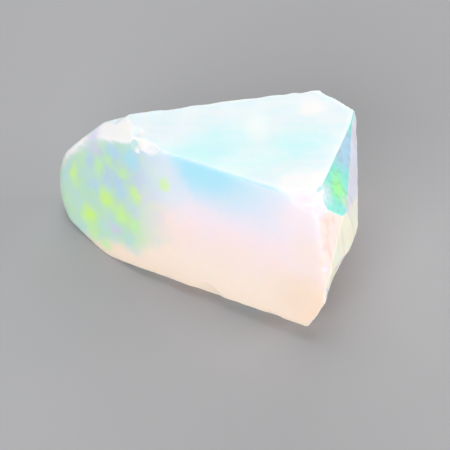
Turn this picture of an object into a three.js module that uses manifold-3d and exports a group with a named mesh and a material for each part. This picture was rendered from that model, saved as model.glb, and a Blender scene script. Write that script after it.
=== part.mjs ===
// Rough opal specimen: one broken piece of a precious-opal nodule, lying on a flat break face.
// Millimetres, +Z up. The origin is on the ground, below the middle of the stone's bounding box.
import * as THREE from "three";
import { mergeVertices } from "three/addons/utils/BufferGeometryUtils.js";
import Module from "manifold-3d";

const wasm = await Module();
wasm.setup();

// ---- driving dimensions ---------------------------------------------------------------------

// The heart is the point inside the stone that every break face is measured from.
const HEART_HEIGHT = 5.0;

// The nodule is the long rounded lump that the stone was broken from, turned about the upright
// axis by NODULE_TURN degrees. Only the stone's narrow end, its nose, still shows the nodule's skin.
const NODULE_CENTRE = [10.1, -4.9, -3.4];
const NODULE_RADII = [26.2, 8.5, 13.7];
const NODULE_TURN = -29;
const NODULE_SEGMENTS = 96;
const NODULE_RINGS = 40;

// Break faces are flat. Azimuth turns from +X towards +Y, elevation is how far the face looks up,
// both in degrees, and distance is from the heart in millimetres.
const TOP_FACES = {
  top: { azimuth: -131, elevation: 83, distance: 6.6 },
  topNoseBevel: { azimuth: -160, elevation: 47, distance: 7.95 },
};
const FRONT_FACES = {
  front: { azimuth: -127, elevation: 16, distance: 5.0 },
  nose: { azimuth: -140, elevation: 17, distance: 5.7 },
};
const RIGHT_END_FACES = {
  frontCorner: { azimuth: -70, elevation: 20, distance: 12.0 },
  cornerBevel: { azimuth: -86, elevation: 43, distance: 10.6 },
  flashFacet: { azimuth: -36, elevation: 43, distance: 11.7 },
  rightUpper: { azimuth: -19, elevation: 11, distance: 11.3 },
  rightLower: { azimuth: -41, elevation: 3, distance: 12.1 },
  rightSide: { azimuth: 2, elevation: -14, distance: 8.5 },
};
const BACK_FACES = {
  rightBack: { azimuth: 36, elevation: 10, distance: 8.8 },
  backUpper: { azimuth: 87, elevation: 40, distance: 6.3 },
  backLower: { azimuth: 82, elevation: 8, distance: 5.6 },
  noseBack: { azimuth: 130, elevation: 45, distance: 9.6 },
};
const UNDERSIDE_FACES = {
  frontUndercut: { azimuth: -124, elevation: -42, distance: 7.4 },
  noseUndercut: { azimuth: -148, elevation: -22, distance: 9.6 },
  rightUndercut: { azimuth: -17, elevation: -30, distance: 8.7 },
  base: { azimuth: 0, elevation: -90, distance: HEART_HEIGHT },
};

// Conchoidal scoops are shallow round hollows left by a blow. Centres are measured from the heart.
const SCOOP_SEGMENTS = 48;
const SCOOP_RINGS = 24;
const SCOOPS = {
  underRightEnd: { centre: [12.0, -12.9, -1.4], radius: 6 },
  ridgeRightChip: { centre: [4.7, -9.2, 6.9], radius: 1.6 },
  ridgeLeftChip: { centre: [-5.3, -1.0, 7.0], radius: 1.3 },
  upperBackBowl: { centre: [-2.0, 16.0, 11.4], radius: 14 },
  lowerBackBowl: { centre: [3.5, 16.9, 0.5], radius: 12 },
  rightSideBowl: { centre: [16.9, 0.4, 0.4], radius: 8 },
};

// ---- solids from three.js geometry --------------------------------------------------------------

// Large enough to clear the whole nodule beyond any break face.
const CUTTER_SIZE = 80;
const WELD_DISTANCE = 1e-4;
const UP = new THREE.Vector3(0, 0, 1);

function solidFrom(geometry) {
  const plain = geometry.clone();
  plain.deleteAttribute("normal");
  plain.deleteAttribute("uv");
  const merged = mergeVertices(plain, WELD_DISTANCE);
  return new wasm.Manifold(new wasm.Mesh({
    numProp: 3,
    vertProperties: new Float32Array(merged.attributes.position.array),
    triVerts: new Uint32Array(merged.index.array),
  }));
}

function outwardNormal(face) {
  const azimuth = THREE.MathUtils.degToRad(face.azimuth);
  const elevation = THREE.MathUtils.degToRad(face.elevation);
  return new THREE.Vector3(
    Math.cos(elevation) * Math.cos(azimuth),
    Math.cos(elevation) * Math.sin(azimuth),
    Math.sin(elevation),
  );
}

// A big block that lies just outside a break face.
function blockBeyond(face) {
  const normal = outwardNormal(face);
  const geometry = new THREE.BoxGeometry(CUTTER_SIZE, CUTTER_SIZE, CUTTER_SIZE);
  geometry.applyQuaternion(new THREE.Quaternion().setFromUnitVectors(UP, normal));
  const middle = normal.multiplyScalar(face.distance + CUTTER_SIZE / 2);
  geometry.translate(middle.x, middle.y, middle.z);
  return solidFrom(geometry);
}

function ball(scoop) {
  const geometry = new THREE.SphereGeometry(scoop.radius, SCOOP_SEGMENTS, SCOOP_RINGS);
  geometry.translate(...scoop.centre);
  return solidFrom(geometry);
}

// ---- the stone ----------------------------------------------------------------------------------

function nodule() {
  const geometry = new THREE.SphereGeometry(1, NODULE_SEGMENTS, NODULE_RINGS);
  geometry.scale(...NODULE_RADII);
  geometry.rotateZ(THREE.MathUtils.degToRad(NODULE_TURN));
  geometry.translate(...NODULE_CENTRE);
  return solidFrom(geometry);
}

function breakAlong(stone, faces) {
  return Object.values(faces).reduce((rest, face) => rest.subtract(blockBeyond(face)), stone);
}

function scoopOut(stone, scoops) {
  return Object.values(scoops).reduce((rest, scoop) => rest.subtract(ball(scoop)), stone);
}

function stoneGeometry() {
  let stone = nodule();
  for (const faces of [TOP_FACES, FRONT_FACES, RIGHT_END_FACES, BACK_FACES, UNDERSIDE_FACES]) {
    stone = breakAlong(stone, faces);
  }
  stone = scoopOut(stone, SCOOPS);
  const mesh = stone.getMesh();
  const geometry = new THREE.BufferGeometry();
  geometry.setAttribute("position", new THREE.BufferAttribute(new Float32Array(mesh.vertProperties), 3));
  geometry.setIndex(new THREE.BufferAttribute(new Uint32Array(mesh.triVerts), 1));
  return geometry;
}

function standOnGround(geometry) {
  geometry.computeBoundingBox();
  const box = geometry.boundingBox;
  const middle = box.getCenter(new THREE.Vector3());
  geometry.translate(-middle.x, -middle.y, -box.min.z);
  return geometry;
}

const opal = new THREE.MeshStandardMaterial({ color: 0xe6ecf0, roughness: 0.32, metalness: 0 });
const stone = new THREE.Mesh(standOnGround(stoneGeometry()), opal);
stone.name = "opal_stone";

const specimen = new THREE.Group();
specimen.add(stone);

export default specimen;
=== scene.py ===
# Looks of the rough opal specimen: a fine mesh of the stone, its opal material, and a plain studio.
# Lengths in the constants are millimetres in the part's frame; Blender objects are in metres.
import math

import bpy
import numpy as np
from mathutils import Matrix, Vector, noise
from mathutils.bvhtree import BVHTree


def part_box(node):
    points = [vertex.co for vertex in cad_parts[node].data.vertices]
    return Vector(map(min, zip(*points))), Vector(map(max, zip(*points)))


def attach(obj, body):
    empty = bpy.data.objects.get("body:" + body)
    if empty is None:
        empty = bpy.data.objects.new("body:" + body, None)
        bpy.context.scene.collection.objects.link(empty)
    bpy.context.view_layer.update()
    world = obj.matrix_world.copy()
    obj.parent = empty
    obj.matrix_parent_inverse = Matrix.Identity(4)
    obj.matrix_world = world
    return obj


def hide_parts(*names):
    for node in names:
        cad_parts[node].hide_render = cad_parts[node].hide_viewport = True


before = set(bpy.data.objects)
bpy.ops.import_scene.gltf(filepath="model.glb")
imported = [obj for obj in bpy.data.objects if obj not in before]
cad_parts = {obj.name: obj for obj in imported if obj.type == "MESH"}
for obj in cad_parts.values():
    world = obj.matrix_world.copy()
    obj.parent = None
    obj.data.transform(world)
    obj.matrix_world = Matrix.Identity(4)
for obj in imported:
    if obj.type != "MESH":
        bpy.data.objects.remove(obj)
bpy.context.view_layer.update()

MM = 0.001
CAD_NODE = "opal_stone"

# ---- the stone's surface --------------------------------------------------------------------

FINE_GRID = 256          # rays along a cube edge when the CAD stone is sampled
COARSE_STEP = 2          # every second fine point becomes a vertex
EDGE_ROUNDS = 2          # smoothing rounds that take the sharpness off break edges
RIM_ROUNDS = 2           # and off the rims of flakes
NOSE_RIM = -6.0          # no flakes came off the rounded nose, below this X
NOSE_ROUNDS = 60         # extra rounds on the nose, which is the nodule's worn skin
NOSE_START = -2.5        # X where the nose begins to be rounder, and
NOSE_FULL = -7.0         # where it is fully so
NOSE_HEIGHTS = (0.2, 1.5)               # heights over which that roundness sets in above the foot
CREASE_ROUNDS = 110      # rounds on the thinned grid for the bend between front face and nose,
CREASE_LOOK = (-0.67, -0.69, 0.28)      # which looks this way
BASE_FLAT = 0.12         # height under which the resting face stays flat, and
RELIEF_FULL = 0.7        # above which the relief is at its full depth
WAVE_HEIGHT, WAVE_LENGTH = 0.035, 4.0       # slow waves of the break faces
GRAIN_HEIGHT, GRAIN_LENGTH = 0.006, 0.45    # their fine grain
STREAK_HEIGHT, STREAK_LENGTH = 0.035, 0.55  # streaks down the right end,
STREAK = (1, 1, 5)       # which are drawn out this much along Z


def cube_lattice(size):
    """Whole-number points on a cube's surface and the quads between them."""
    quads = []
    for axis in range(3):
        first, second = (axis + 1) % 3, (axis + 2) % 3
        i, j = np.meshgrid(np.arange(size), np.arange(size), indexing="ij")
        for side in (0, size):
            corners = []
            for di, dj in ((0, 0), (1, 0), (1, 1), (0, 1)):
                corner = np.empty(i.shape + (3,), dtype=np.int64)
                corner[..., axis] = side
                corner[..., first] = i + di
                corner[..., second] = j + dj
                corners.append(corner.reshape(-1, 3))
            if side == 0:
                corners.reverse()
            quads.append(np.stack(corners, axis=1))
    quads = np.concatenate(quads)
    keys = (quads[..., 0] * (size + 1) + quads[..., 1]) * (size + 1) + quads[..., 2]
    unique, faces = np.unique(keys, return_inverse=True)
    faces = faces.reshape(-1, 4)
    points = np.stack((unique // (size + 1) ** 2, unique // (size + 1) % (size + 1),
                       unique % (size + 1)), axis=1)
    return points, faces


def even_directions(points, size, reach):
    """Even directions from the middle of the cube, stretched to the stone's proportions."""
    turned = np.tan((points / size * 2 - 1) * math.pi / 4)
    stretched = turned * reach
    return stretched / np.linalg.norm(stretched, axis=1, keepdims=True)


def cast_onto(node, centre, directions):
    """Where rays from the centre leave the CAD node, in millimetres."""
    mesh = node.data
    vertices = [v.co / MM for v in mesh.vertices]
    tree = BVHTree.FromPolygons(vertices, [tuple(p.vertices) for p in mesh.polygons])
    origin = Vector(centre)
    hits = np.empty(directions.shape)
    for index, direction in enumerate(directions):
        hits[index] = tree.ray_cast(origin, Vector(direction))[0]
    return hits


def edges_of(faces):
    pairs = np.concatenate([faces[:, [k, (k + 1) % 4]] for k in range(4)])
    return np.unique(np.sort(pairs, axis=1), axis=0)


def neighbour_mean(values, edges, counts):
    """The mean of each vertex's neighbours, for one column of values or several."""
    total = np.empty_like(values)
    for column in range(values.shape[1]):
        there = np.bincount(edges[:, 0], values[edges[:, 1], column], len(values))
        back = np.bincount(edges[:, 1], values[edges[:, 0], column], len(values))
        total[:, column] = there + back
    return total / counts[:, None]


def smooth(values, edges, rounds, amount=None):
    counts = np.bincount(edges.ravel(), minlength=len(values))
    for _ in range(rounds):
        mean = neighbour_mean(values, edges, counts)
        step = 0.5 if amount is None else 0.5 * amount[:, None]
        values = values + (mean - values) * step
    return values


def ramp(values, start, end):
    """Smooth step from 0 at start to 1 at end; start may be the larger."""
    t = np.clip((values - start) / (end - start), 0, 1)
    return t * t * (3 - 2 * t)


def vertex_normals(points, faces):
    a, b, c, d = (points[faces[:, k]] for k in range(4))
    face_normals = np.cross(c - a, d - b)
    normals = np.zeros_like(points)
    for corner in range(4):
        for column in range(3):
            normals[:, column] += np.bincount(faces[:, corner], face_normals[:, column], len(points))
    return normals / np.linalg.norm(normals, axis=1, keepdims=True)


def field(points, wavelength, octaves, seed, stretch=(1, 1, 1)):
    """Smooth noise from about -1 to 1 over the points, seeded by an offset."""
    offset = Vector((seed * 17.3, seed * 5.1, seed * 9.7))
    scaled = points / (wavelength * np.array(stretch))
    return np.array([noise.fractal(Vector(p) + offset, 1.0, 2.0, octaves) for p in scaled])


# Shallow hollows left where flakes came off the break edges: the edge nearest to this spot, the
# hollow's radius and its depth. The first rows are the crumbled ends of the ridge between the top
# and the tall front face.
FLAKES = (
    ((-4.9, 2.6, 10.7), 1.3, 0.16),
    ((-4.2, 1.9, 10.9), 1.7, 0.20),
    ((-3.9, 2.6, 11.2), 2.2, 0.14),
    ((-3.2, 0.9, 11.1), 1.5, 0.14),
    ((-2.4, 0.3, 11.2), 2.4, 0.08),
    ((6.3, -6.0, 11.2), 1.5, 0.14),
    ((6.9, -6.4, 11.1), 1.0, 0.18),
    ((7.6, -6.4, 11.2), 1.4, 0.12),
    ((6.8, -6.9, 10.3), 1.2, 0.20),
    ((8.3, -6.1, 11.3), 1.6, 0.12),
    ((-5.0, 4.9, 11.1), 2.0, 0.16),
    ((-3.2, 4.9, 11.4), 2.6, 0.10),
    ((8.4, 4.0, 12.0), 2.2, 0.08),
)
EDGE_FLAKES = 44             # more, scattered by seed along the break edges
EDGE_FLAKE_SEED = 7
EDGE_FLAKE_RADII, EDGE_FLAKE_DEPTHS = (1.0, 2.6), (0.02, 0.12)
FOOT_FLAKES = 16             # and longer, shallow ones that make the front foot of the stone wavy
FOOT_FLAKE_RADII, FOOT_FLAKE_DEPTHS = (2.4, 4.0), (0.03, 0.08)
FOOT_HEIGHT = 1.2            # below this height,
TIP_START = 5.5              # and short of the pointed tip, which begins at this X
BACK_FOOT_FLAKES = 18        # deeper ones that chip the foot along the back
BACK_FOOT_RADII, BACK_FOOT_DEPTHS = (1.2, 3.2), (0.04, 0.30)
FLAKE_STRETCH = (1.0, 1.7)   # how much longer than wide a flake may be
FLAKE_LOOK_ROUNDS = 12       # smoothing rounds for the way that a flake's hollow faces
KEEN_ROUNDS = 10             # and for how keen an edge is
EDGE_KEENNESS = 0.012        # what counts as a break edge
CRISP_ABOVE = 10.0           # the top's front and right edges lose no more flakes than those listed
WOBBLE_WAVES = 7             # waves that make the flakes uneven, and
WOBBLE_SIZE = 0.035          # how far each one shifts them
WOBBLE_LENGTHS = (0.9, 2.0)  # the range of their wavelengths

# Ripples round the points where blows landed: centre, the way its face looks, reach, distance
# between ripples, height.
RIPPLES = (
    ((-3.6, 1.4, 11.2), (0, 0, 1), 5.0, 0.95, 0.006),
    ((3.5, 6.8, 11.5), (0, 1, 0.3), 9.0, 1.25, 0.030),
    ((8.8, 4.0, 4.0), (0.8, 0.6, 0), 6.0, 1.10, 0.024),
    ((-6.0, 6.5, 4.0), (-0.5, 0.7, 0), 5.0, 1.00, 0.020),
    ((0.5, -3.0, 0.5), (-0.4, -0.6, -0.6), 6.0, 1.20, 0.020),
)


def wobble(points, chance):
    """A small smooth shift for every point, made of a few waves, so that flakes aren't round."""
    shift = np.zeros_like(points)
    for _ in range(WOBBLE_WAVES):
        direction = chance.normal(size=3)
        wave = direction / np.linalg.norm(direction) * math.tau / chance.uniform(*WOBBLE_LENGTHS)
        phase = chance.uniform(0, math.tau)
        shift += np.outer(np.sin(points @ wave + phase), chance.normal(size=3) * WOBBLE_SIZE)
    return shift


def flake_off(points, shift, centre, radius, along, stretch):
    """Pushes the points inside an uneven ball out to its surface, which leaves a hollow."""
    offset = points - centre
    felt = offset + shift
    felt += np.outer(felt @ along, along) * (1 / stretch - 1)
    distance = np.linalg.norm(felt, axis=1)
    inside = distance < radius
    points[inside] = centre + offset[inside] * (radius / distance[inside])[:, None]


def flake_edges(points, faces, edges):
    """The listed flakes, then the scattered ones along break edges and along the foot."""
    normals = smooth(vertex_normals(points, faces), edges, FLAKE_LOOK_ROUNDS)
    normals /= np.linalg.norm(normals, axis=1, keepdims=True)
    on_edge = keen_edges(points, faces, edges, KEEN_ROUNDS) > EDGE_KEENNESS
    low_down = points[:, 2] < FOOT_HEIGHT
    rims = np.flatnonzero(on_edge & ~low_down & (points[:, 0] > NOSE_RIM))
    crisp = (points[rims, 2] > CRISP_ABOVE) & (normals[rims, 1] < 0)
    feet = np.flatnonzero(on_edge & low_down & (normals[:, 1] < 0) & (points[:, 0] < TIP_START))
    behind_nose = (normals[:, 1] > 0) & (points[:, 0] > NOSE_RIM)
    back_feet = np.flatnonzero(on_edge & low_down & behind_nose)
    rim_points = points[rims].copy()
    chance = np.random.default_rng(EDGE_FLAKE_SEED)
    shift = wobble(points, chance)

    def flake(vertex, radius, depth):
        normal = normals[vertex]
        along = np.cross(normal, chance.normal(size=3))
        along /= np.linalg.norm(along)
        centre = points[vertex] + normal * (radius - depth)
        flake_off(points, shift, centre, radius, along, chance.uniform(*FLAKE_STRETCH))

    for spot, radius, depth in FLAKES:
        nearest = np.argmin(np.linalg.norm(rim_points - np.array(spot), axis=1))
        flake(rims[nearest], radius, depth)
    for vertex in chance.choice(rims[~crisp], EDGE_FLAKES, replace=False):
        flake(vertex, chance.uniform(*EDGE_FLAKE_RADII), chance.uniform(*EDGE_FLAKE_DEPTHS))
    for vertex in chance.choice(feet, FOOT_FLAKES, replace=False):
        flake(vertex, chance.uniform(*FOOT_FLAKE_RADII), chance.uniform(*FOOT_FLAKE_DEPTHS))
    for vertex in chance.choice(back_feet, BACK_FOOT_FLAKES, replace=False):
        flake(vertex, chance.uniform(*BACK_FOOT_RADII), chance.uniform(*BACK_FOOT_DEPTHS))
    return points


def stone_surface():
    """The CAD stone sampled evenly, softened at its edges, flaked, and thinned to the final grid."""
    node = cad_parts[CAD_NODE]
    low, high = (np.array(corner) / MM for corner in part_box(CAD_NODE))
    centre = (low + high) / 2
    lattice, fine_faces = cube_lattice(FINE_GRID)
    directions = even_directions(lattice, FINE_GRID, (high - low) / 2)
    points = cast_onto(node, centre, directions)
    edges = edges_of(fine_faces)
    points = smooth(points, edges, EDGE_ROUNDS)
    nose = ramp(points[:, 0], NOSE_START, NOSE_FULL) * ramp(points[:, 2], *NOSE_HEIGHTS)
    points = smooth(points, edges, NOSE_ROUNDS, nose)
    points = flake_edges(points, fine_faces, edges)
    points = smooth(points, edges, RIM_ROUNDS)

    kept = np.flatnonzero(np.all(lattice % COARSE_STEP == 0, axis=1))
    _, faces = cube_lattice(FINE_GRID // COARSE_STEP)
    return points[kept], faces, low, high


def keen_edges(points, faces, edges, rounds):
    """0 on flat ground and near 1 on break edges: how far the normals disagree nearby."""
    normals = vertex_normals(points, faces)
    blurred = smooth(normals, edges, rounds)
    return 1 - np.linalg.norm(blurred, axis=1)


def ripples(points, normals):
    height = np.zeros(len(points))
    for centre, look, reach, spacing, amount in RIPPLES:
        distance = np.linalg.norm(points - np.array(centre), axis=1)
        facing = ramp(normals @ (np.array(look) / np.linalg.norm(look)), 0.35, 0.75)
        fading = ramp(distance, reach, 0.3 * reach)
        height += amount * np.sin(distance * math.tau / spacing) * fading * facing
    return height


def soften_crease(points, faces):
    """Spreads the bend between the tall front face and the nose, which is a gentle one."""
    facing = ramp(vertex_normals(points, faces) @ np.array(CREASE_LOOK), 0.80, 0.92)
    along = ramp(points[:, 0], -1.0, -3.5) * ramp(points[:, 0], -10.0, -7.0)
    level = ramp(points[:, 2], 0.3, 1.5) * ramp(points[:, 2], 10.2, 9.0)
    return smooth(points, edges_of(faces), CREASE_ROUNDS, facing * along * level)


def carve(points, faces):
    """Adds the relief of broken opal: waves, grain, ripples round each blow, and streaks."""
    points = soften_crease(points, faces)
    normals = vertex_normals(points, faces)
    resting = ramp(points[:, 2], BASE_FLAT, RELIEF_FULL)
    waves = WAVE_HEIGHT * field(points, WAVE_LENGTH, 2, 1)
    grain = GRAIN_HEIGHT * field(points, GRAIN_LENGTH, 2, 2)
    right_end = ramp(normals[:, 0], 0.1, 0.5) * ramp(normals[:, 2], 0.8, 0.5)
    streaks = STREAK_HEIGHT * field(points, STREAK_LENGTH, 2, 5, STREAK) * right_end
    depth = waves + grain + streaks + ripples(points, normals)
    return points + normals * (depth * resting)[:, None]


def keep_inside(points, low, high):
    points = np.clip(points, low, high)
    points[:, 2] = np.where(points[:, 2] < BASE_FLAT * 0.5, low[2], points[:, 2])
    return points


def build_mesh(name, points, faces):
    mesh = bpy.data.meshes.new(name)
    mesh.from_pydata((points * MM).tolist(), [], faces.tolist())
    mesh.update()
    mesh.polygons.foreach_set("use_smooth", [True] * len(mesh.polygons))
    piece = bpy.data.objects.new(name, mesh)
    bpy.context.scene.collection.objects.link(piece)
    return piece


# ---- the opal material ------------------------------------------------------------------------

def srgb(red, green, blue):
    """A linear colour from screen values of 0 to 255."""
    def linear(value):
        value = value / 255
        return value / 12.92 if value <= 0.04045 else ((value + 0.055) / 1.055) ** 2.4
    return (linear(red), linear(green), linear(blue), 1)


# Body colour by height above the ground: peach low down, through rose, to pale lavender.
BODY_BANDS = (
    (0.0, srgb(255, 225, 207)),
    (3.0, srgb(255, 229, 217)),
    (5.5, srgb(255, 228, 225)),
    (7.5, srgb(240, 230, 238)),
    (9.2, srgb(226, 231, 244)),
    (11.5, srgb(222, 235, 248)),
)
BAND_TOP = 12.5

# The ways that faces look, in degrees, at or near those of the CAD stone: azimuth, elevation, then
# how far a normal may lean away before the face's colour starts to fade, and where it is gone.
# The ridge, right_side and back are broad directions that take in more than one face or edge. The
# ridge's direction carries only a painted shade over that edge.
FACES = {
    "top": (-131, 83, 26, 38),
    "top_bevel": (-160, 47, 14, 30),
    "front": (-130, 16, 34, 46),
    "ridge": (-128, 50, 12, 26),
    "corner": (-70, 20, 12, 26),
    "corner_bevel": (-86, 43, 10, 22),
    "flash": (-36, 43, 12, 22),
    "right_upper": (-19, 11, 10, 22),
    "right_lower": (-41, 3, 10, 22),
    "right_side": (-4, -22, 18, 28),
    "back": (85, 25, 50, 80),
}
ANYWHERE = (99, 99, 99)

# Soft clouds of colour: face, centre, reach along X, Y and Z, how much of the reach is at full
# strength, colour, strength.
CLOUDS = {
    "top ground": ("top", (0, 0, 11), ANYWHERE, 0.9, srgb(230, 240, 253), 1.0),
    "top cyan left": ("top", (1.0, -0.3, 11.4), (5.4, 3.4, 4), 0.0, srgb(202, 242, 255), 1.0),
    "top cyan ridge": ("top", (3.6, -2.6, 11.4), (3.8, 1.9, 4), 0.0, srgb(218, 249, 255), 0.9),
    "top cyan right": ("top", (7.2, -1.7, 11.8), (3.4, 2.8, 4), 0.0, srgb(206, 243, 255), 1.0),
    "top milk": ("top", (4.6, 0.6, 11.7), (1.2, 2.6, 4), 0.1, srgb(246, 250, 255), 0.6),
    "top left grey": ("top", (-2.2, 2.8, 11.4), (2.8, 2.6, 4), 0.1, srgb(230, 238, 244), 0.9),
    "top rose spot": ("top", (8.6, 1.9, 12.2), (1.7, 1.5, 4), 0.1, srgb(255, 245, 250), 0.9),
    "top front corner": ("top", (6.8, -5.6, 11.4), (2.9, 1.9, 4), 0.2, srgb(255, 250, 255), 1.0),
    "nose bevel white": ("top_bevel", (0, 0, 0), ANYWHERE, 0.9, srgb(253, 250, 253), 1.0),
    # painted shade, tinted lilac, at the left end of the lobe where it rounds away from the light
    "lobe end painted shade": ("top_bevel", (-7.6, 5.4, 8.9), (1.8, 1.8, 1.4), 0.1, srgb(214, 214, 236), 0.9),
    "sky band": ("front", (0.4, -2.1, 10.8), (4.6, 9, 3.4), 0.2, srgb(180, 230, 255), 1.0),
    "pale by nose": ("front", (-2.7, -0.3, 9.0), (2.4, 9, 3.2), 0.2, srgb(224, 232, 243), 0.9),
    "rose right": ("front", (7.0, -7.0, 9.4), (3.4, 9, 3.0), 0.2, srgb(250, 233, 238), 0.9),
    "rose corner": ("front", (7.8, -7.6, 7.0), (3.6, 9, 2.6), 0.2, srgb(255, 229, 223), 0.9),
    "peach foot": ("front", (7.4, -8.6, 3.2), (5.0, 9, 3.0), 0.3, srgb(255, 222, 202), 0.8),
    # painted shade: darker cyan over the rounded ridge, which damps the bright line that the lights
    # give it
    "ridge painted shade": ("ridge", (2.4, -2.6, 11.2), (5.6, 5.0, 1.6), 0.6, srgb(190, 226, 242), 0.9),
    "corner peach": ("corner", (8.4, -8.0, 7.5), (9, 9, 9), 0.9, srgb(255, 227, 221), 1.0),
    "bevel rose": ("corner_bevel", (7.6, -6.8, 10.8), (9, 9, 9), 0.9, srgb(248, 232, 243), 1.0),
    "flash ground": ("flash", (0, 0, 0), ANYWHERE, 0.9, srgb(138, 222, 210), 1.0),
    "flash lip": ("flash", (8.2, -6.2, 11.3), (1.2, 1.3, 1.2), 0.1, srgb(226, 234, 240), 0.8),
    "flash sky": ("flash", (10.5, -2.7, 11.6), (2.2, 2.2, 2.0), 0.35, srgb(172, 206, 224), 1.0),
    "flash green": ("flash", (9.4, -5.2, 10.8), (1.1, 1.5, 1.1), 0.1, srgb(160, 238, 150), 1.0),
    "flash olive": ("flash", (9.8, -5.9, 10.1), (0.5, 0.9, 0.7), 0.1, srgb(205, 226, 186), 0.8),
    "strip lilac": ("right_upper", (0, 0, 0), ANYWHERE, 0.9, srgb(226, 229, 244), 1.0),
    "strip cream": ("right_upper", (10.4, -5.6, 7.6), (3, 3.0, 2.2), 0.3, srgb(254, 248, 228), 1.0),
    "right cream": ("right_lower", (0, 0, 0), ANYWHERE, 0.9, srgb(255, 247, 226), 1.0),
    "back lime": ("back", (-5.5, 6.5, 6.5), (2.2, 9, 1.8), 0.1, srgb(196, 238, 160), 0.9),
    "back teal": ("back", (3.8, 6.5, 9.6), (2.0, 9, 1.5), 0.1, srgb(160, 232, 220), 0.9),
    "back sky": ("back", (-1.5, 6.0, 8.0), (6, 9, 5), 0.1, srgb(190, 230, 246), 0.9),
    "back rose": ("back", (6.5, 6.0, 5.0), (5, 9, 4.5), 0.1, srgb(252, 226, 228), 0.8),
}

STREAK_SHADE = srgb(238, 226, 226)
RIGHT_STREAK_STRENGTH, TOP_STREAK_STRENGTH, FIRE_STRENGTH = 0.5, 0.16, 0.75
TOP_SPLIT = math.radians(22)
TOP_SHADES = ((0.0, srgb(214, 252, 255)), (1.0, srgb(255, 255, 255)))

# The nose is grey sea-green and powder blue in patches, with flashes of lime held in it.
NOSE_EDGE = (-1.4, -6.6)     # X where the nose's colour starts, and where it is full
NOSE_FOOT_SLOPE = 0.52       # its lower limit climbs by this much per millimetre towards +X
NOSE_FOOT = (4.3, 6.1)       # where that limit starts and is full, above X = 0
NOSE_GROUND = (srgb(190, 224, 218), srgb(194, 228, 198), srgb(190, 214, 228))
LIME, PALE_LIME = srgb(208, 246, 132), srgb(198, 238, 176)
AZURE, LILAC = srgb(184, 218, 242), srgb(212, 210, 232)
FLASHES = (
    ((-7.9, 5.1, 8.5), (1.6, 1.6, 1.1), LILAC, 0.8),
    ((-6.2, 3.5, 9.2), (1.3, 1.3, 1.0), AZURE, 0.9),
    ((-4.9, 2.1, 9.4), (1.5, 1.5, 1.4), srgb(176, 226, 240), 0.9),
    ((-8.2, 4.1, 5.4), (0.9, 0.9, 1.3), AZURE, 0.7),
    ((-6.2, 2.1, 6.4), (0.9, 0.9, 1.2), AZURE, 0.9),
    ((-7.2, 1.7, 2.8), (1.4, 1.4, 0.9), LILAC, 0.9),
    ((-10.05, 6.2, 5.2), (0.8, 0.9, 2.0), LIME, 0.8),
    ((-7.7, 4.3, 7.1), (1.1, 1.1, 1.3), PALE_LIME, 0.8),
    ((-6.9, 3.8, 8.2), (0.9, 0.9, 1.0), PALE_LIME, 0.7),
    ((-5.7, 2.3, 7.9), (0.9, 0.9, 1.0), PALE_LIME, 0.9),
    ((-7.5, 3.0, 4.8), (1.4, 1.4, 1.4), LIME, 0.9),
    ((-9.3, 4.0, 2.6), (1.5, 1.5, 1.6), LIME, 1.0),
    ((-9.1, 3.3, 1.2), (1.2, 1.2, 1.2), PALE_LIME, 0.9),
    ((-8.2, 2.2, 0.9), (1.1, 1.1, 1.0), PALE_LIME, 0.9),
    ((-5.1, 1.0, 6.8), (0.9, 0.9, 1.2), LIME, 0.8),
    ((-6.4, 1.6, 4.4), (1.6, 1.6, 1.2), LIME, 0.8),
    ((-5.5, 0.3, 4.1), (1.1, 1.1, 0.9), PALE_LIME, 1.0),
    ((-2.7, -0.4, 8.7), (0.8, 0.8, 0.9), LIME, 0.7),
)

# The same play of colour in soft patches, on the sides that the flashes above don't reach.
FIRE_COLOURS = (
    (0.0, srgb(186, 236, 214)),
    (0.35, srgb(180, 220, 246)),
    (0.6, srgb(208, 240, 166)),
    (0.8, srgb(238, 212, 236)),
    (1.0, srgb(255, 226, 200)),
)


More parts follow.
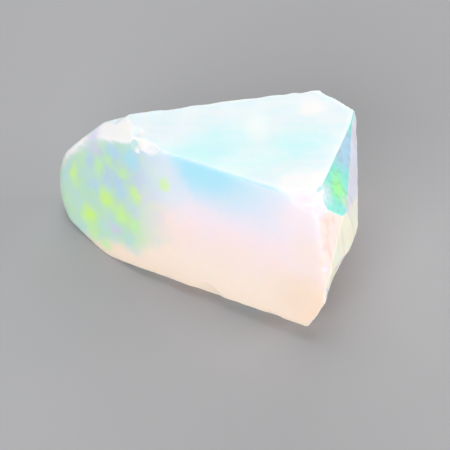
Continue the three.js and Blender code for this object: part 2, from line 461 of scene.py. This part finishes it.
class Wiring:
    """Short names for the node kinds that the material is wired from."""

    def __init__(self, material):
        self.tree = material.node_tree

    def node(self, kind, inputs=None, **settings):
        made = self.tree.nodes.new("ShaderNode" + kind)
        for name, value in settings.items():
            setattr(made, name, value)
        for name, value in (inputs or {}).items():
            socket = made.inputs[name]
            if isinstance(value, bpy.types.NodeSocket):
                self.tree.links.new(value, socket)
            else:
                socket.default_value = value
        return made

    def math(self, operation, first, second=0.0):
        return self.node("Math", {0: first, 1: second}, operation=operation).outputs[0]

    def product(self, *factors):
        result = factors[0]
        for factor in factors[1:]:
            result = self.math("MULTIPLY", result, factor)
        return result

    def vector(self, operation, first, second=(0, 0, 0), result="Vector"):
        made = self.node("VectorMath", {0: first, 1: second}, operation=operation)
        return made.outputs[result]

    def ramp(self, value, start, end, low=0.0, high=1.0):
        inputs = {"Value": value, "From Min": start, "From Max": end, "To Min": low, "To Max": high}
        return self.node("MapRange", inputs, interpolation_type="SMOOTHSTEP").outputs[0]

    def blend(self, under, over, factor):
        inputs = {0: factor, 6: under, 7: over}
        return self.node("Mix", inputs, data_type="RGBA").outputs[2]

    def palette(self, value, stops):
        made = self.node("ValToRGB", {"Fac": value})
        elements = made.color_ramp.elements
        while len(elements) < len(stops):
            elements.new(0.5)
        for element, (position, colour) in zip(elements, stops):
            element.position = position
            element.color = colour
        return made.outputs["Color"]

    def noise(self, place, scale, detail=2.0, output="Fac"):
        made = self.node("TexNoise", {"Vector": place, "Scale": scale, "Detail": detail})
        return made.outputs[output]

    def stirred(self, place, scale, amount):
        """The place moved about by smooth noise, by up to half of amount."""
        drift = self.vector("SUBTRACT", self.noise(place, scale, output="Color"), (0.5, 0.5, 0.5))
        return self.vector("ADD", place, self.vector("MULTIPLY", drift, (amount,) * 3))

    def cloud(self, place, centre, reach, core):
        offset = self.vector("SUBTRACT", place, centre)
        scaled = self.vector("DIVIDE", offset, reach)
        distance = self.vector("LENGTH", scaled, result="Value")
        return self.ramp(distance, 1.0, core)

    def facing(self, normal, face):
        azimuth, elevation, full, gone = (math.radians(angle) for angle in FACES[face])
        direction = (math.cos(elevation) * math.cos(azimuth),
                     math.cos(elevation) * math.sin(azimuth), math.sin(elevation))
        along = self.vector("DOT_PRODUCT", normal, direction, result="Value")
        return self.ramp(along, math.cos(gone), math.cos(full))


def body_colour(wiring, place):
    height = wiring.node("SeparateXYZ", {0: place}).outputs["Z"]
    stops = [(level / BAND_TOP, colour) for level, colour in BODY_BANDS]
    return wiring.palette(wiring.math("DIVIDE", height, BAND_TOP), stops)


def nose_mask(wiring, place, masks):
    parts = wiring.node("SeparateXYZ", {0: place})
    climb = wiring.math("MULTIPLY", parts.outputs["X"], NOSE_FOOT_SLOPE)
    above = wiring.math("SUBTRACT", parts.outputs["Z"], climb)
    below_bevel = wiring.math("SUBTRACT", 1.0, masks["top_bevel"])
    below_top = wiring.math("SUBTRACT", 1.0, masks["top"])
    return wiring.product(wiring.ramp(parts.outputs["X"], *NOSE_EDGE),
                          wiring.ramp(above, *NOSE_FOOT), below_bevel, below_top)


def nose_ground(wiring, place):
    """Aqua that drifts into sea-green and powder blue."""
    aqua, green, blue = NOSE_GROUND
    greener = wiring.ramp(wiring.noise(place, 0.7, 1.0), 0.3, 0.7)
    elsewhere = wiring.vector("ADD", place, (31, 17, 5))
    high = wiring.ramp(wiring.node("SeparateXYZ", {0: place}).outputs["Z"], 3.0, 8.0)
    bluer = wiring.product(wiring.ramp(wiring.noise(elsewhere, 0.8, 1.0), 0.4, 0.7), high)
    return wiring.blend(wiring.blend(aqua, green, greener), blue, bluer)


def hidden_fire(wiring, place, normal, masks, colour):
    """Soft patches of fire on the back, low on the right side and under the stone."""
    hue = wiring.ramp(wiring.noise(wiring.vector("ADD", place, (7, 40, 3)), 0.3), 0.3, 0.7)
    sideways = wiring.node("SeparateXYZ", {0: normal})
    behind = wiring.ramp(sideways.outputs["Y"], 0.05, 0.5)
    beneath = wiring.ramp(sideways.outputs["Z"], -0.3, -0.8)
    hidden = wiring.math("MAXIMUM", wiring.math("MAXIMUM", behind, beneath), masks["right_side"])
    patchy = wiring.ramp(wiring.noise(wiring.stirred(place, 0.8, 1.4), 0.45), 0.4, 0.68)
    strength = wiring.product(hidden, patchy, FIRE_STRENGTH)
    return wiring.blend(colour, wiring.palette(hue, FIRE_COLOURS), strength)


def right_end_streaks(wiring, place, masks, colour):
    """Thin upright lines, a little darker than the faces that they run down."""
    lines = wiring.noise(wiring.vector("MULTIPLY", place, (2.6, 2.6, 0.3)), 1.0, 1.0)
    ends = masks["corner"]
    for face in ("right_lower", "right_upper", "flash"):
        ends = wiring.math("MAXIMUM", ends, masks[face])
    strength = wiring.product(wiring.ramp(lines, 0.45, 0.7), ends, RIGHT_STREAK_STRENGTH)
    inputs = {0: strength, 6: colour, 7: STREAK_SHADE}
    return wiring.node("Mix", inputs, data_type="RGBA", blend_type="MULTIPLY").outputs[2]


def top_streaks(wiring, place):
    """Pale lines across the top, along the way it split."""
    turned = wiring.node("VectorRotate", {"Vector": place, "Angle": TOP_SPLIT}, rotation_type="Z_AXIS")
    lines = wiring.noise(wiring.vector("MULTIPLY", turned.outputs[0], (0.5, 1.4, 1.0)), 1.0, 3.0)
    return wiring.palette(wiring.ramp(lines, 0.35, 0.65), TOP_SHADES)


def opal_colour(wiring, place, normal):
    """Body bands, then the clouds of each face, the nose, and the flashes in it."""
    drifted = wiring.stirred(place, 0.35, 1.8)
    masks = {face: wiring.facing(normal, face) for face in FACES}
    colour = body_colour(wiring, drifted)
    colour = hidden_fire(wiring, place, normal, masks, colour)
    for face, centre, reach, core, tint, strength in CLOUDS.values():
        cloud = wiring.product(wiring.cloud(drifted, centre, reach, core), masks[face], strength)
        colour = wiring.blend(colour, tint, cloud)

    colour = right_end_streaks(wiring, place, masks, colour)
    top_lines = wiring.product(masks["top"], TOP_STREAK_STRENGTH)
    colour = wiring.blend(colour, top_streaks(wiring, place), top_lines)
    colour = wiring.blend(colour, nose_ground(wiring, place), nose_mask(wiring, drifted, masks))
    wobbled = wiring.stirred(place, 0.9, 1.0)
    below_bevel = wiring.math("SUBTRACT", 1.0, masks["top_bevel"])
    for centre, reach, tint, strength in FLASHES:
        flash = wiring.product(wiring.cloud(wobbled, centre, reach, 0.0), below_bevel, strength)
        colour = wiring.blend(colour, tint, flash)
    return colour


def opal_bump(wiring, place):
    """Fine frosting, which is too small for the mesh, over faint streaks drawn down the faces."""
    streaks = wiring.noise(wiring.vector("MULTIPLY", place, (3.2, 3.2, 0.5)), 1.0)
    frosting = wiring.noise(place, 6.0, 4.0)
    height = wiring.math("ADD", wiring.math("MULTIPLY", streaks, 0.6), frosting)
    inputs = {"Height": height, "Strength": 0.25, "Distance": 0.02 * MM}
    return wiring.node("Bump", inputs).outputs["Normal"]


OPAL_IOR = 1.45
ROUGHNESS = (0.32, 0.5)                  # from waxy to frosted
SCATTER_RADIUS = (1.0, 0.8, 0.6)         # how light spreads under the milky surface, by colour,
SCATTER_SCALE = 0.5 * MM                 # and how far


def opal_material():
    material = bpy.data.materials.new("opal")
    material.use_nodes = True
    wiring = Wiring(material)
    shader = material.node_tree.nodes["Principled BSDF"]
    coordinates = wiring.node("TexCoord")
    place = wiring.vector("MULTIPLY", coordinates.outputs["Object"], (1 / MM, 1 / MM, 1 / MM))
    links = material.node_tree.links
    links.new(opal_colour(wiring, place, coordinates.outputs["Normal"]), shader.inputs["Base Color"])
    roughness = wiring.ramp(wiring.noise(place, 0.8, 3.0), 0.35, 0.65, *ROUGHNESS)
    links.new(roughness, shader.inputs["Roughness"])
    links.new(opal_bump(wiring, place), shader.inputs["Normal"])
    shader.inputs["IOR"].default_value = OPAL_IOR
    shader.inputs["Subsurface Weight"].default_value = 1.0
    shader.inputs["Subsurface Radius"].default_value = SCATTER_RADIUS
    shader.inputs["Subsurface Scale"].default_value = SCATTER_SCALE
    return material


# ---- studio -----------------------------------------------------------------------------------

FLOOR_SIZE = 0.6
FLOOR_COLOUR = (0.40, 0.40, 0.41, 1)


def floor():
    mesh = bpy.data.meshes.new("floor")
    half = FLOOR_SIZE / 2
    mesh.from_pydata([(-half, -half, 0), (half, -half, 0), (half, half, 0), (-half, half, 0)],
                     [], [(0, 1, 2, 3)])
    plane = bpy.data.objects.new("floor", mesh)
    bpy.context.scene.collection.objects.link(plane)
    material = bpy.data.materials.new("floor_paper")
    material.use_nodes = True
    shader = material.node_tree.nodes["Principled BSDF"]
    shader.inputs["Base Color"].default_value = FLOOR_COLOUR
    shader.inputs["Roughness"].default_value = 0.9
    mesh.materials.append(material)


def area_light(name, place, size, watts):
    """A square soft light, aimed at the stone; place in metres."""
    light = bpy.data.lights.new(name, "AREA")
    light.size = size
    light.energy = watts
    holder = bpy.data.objects.new(name, light)
    holder.location = place
    holder.rotation_euler = (-Vector(place)).to_track_quat("-Z", "Y").to_euler()
    bpy.context.scene.collection.objects.link(holder)


def lights():
    area_light("overhead", (0.0, 0.06, 0.30), 0.22, 0.35)
    area_light("front_fill", (-0.13, -0.28, 0.14), 0.24, 0.91)
    area_light("back_fill", (0.04, 0.32, 0.12), 0.24, 0.45)
    area_light("right_fill", (0.33, -0.07, 0.04), 0.18, 0.84)
    world = bpy.data.worlds.new("studio")
    world.use_nodes = True
    world.node_tree.nodes["Background"].inputs["Color"].default_value = (1, 1, 1, 1)
    world.node_tree.nodes["Background"].inputs["Strength"].default_value = 0.25
    bpy.context.scene.world = world


# The camera looks down at the ground beside the stone's middle, close up and slightly rolled.
CAMERA_AIM = Vector((1.35, 3.23, 0)) * MM
CAMERA_DISTANCE = 87 * MM
CAMERA_ELEVATION = math.radians(45)
CAMERA_ROLL = math.radians(8)
CAMERA_LENS = 85.6


def camera():
    ahead = Vector((0, math.cos(CAMERA_ELEVATION), -math.sin(CAMERA_ELEVATION)))
    level = Vector((1, 0, 0))
    above = level.cross(ahead)
    right = math.cos(CAMERA_ROLL) * level - math.sin(CAMERA_ROLL) * above
    up = math.sin(CAMERA_ROLL) * level + math.cos(CAMERA_ROLL) * above
    lens = bpy.data.cameras.new("camera")
    lens.lens = CAMERA_LENS
    lens.sensor_width = 36
    lens.clip_start = 1 * MM
    holder = bpy.data.objects.new("camera", lens)
    place = CAMERA_AIM - ahead * CAMERA_DISTANCE
    turn = Matrix((right, up, -ahead)).transposed()
    holder.matrix_world = Matrix.Translation(place) @ turn.to_4x4()
    bpy.context.scene.collection.objects.link(holder)
    bpy.context.scene.camera = holder


# ---- the scene --------------------------------------------------------------------------------

surface, quads, box_low, box_high = stone_surface()
surface = keep_inside(carve(surface, quads), box_low, box_high)
opal_stone = build_mesh("opal_stone_surface", surface, quads)
opal_stone.data.materials.append(opal_material())
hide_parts(CAD_NODE)
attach(opal_stone, "root")

floor()
lights()
camera()
bpy.context.scene.view_settings.view_transform = "Standard"
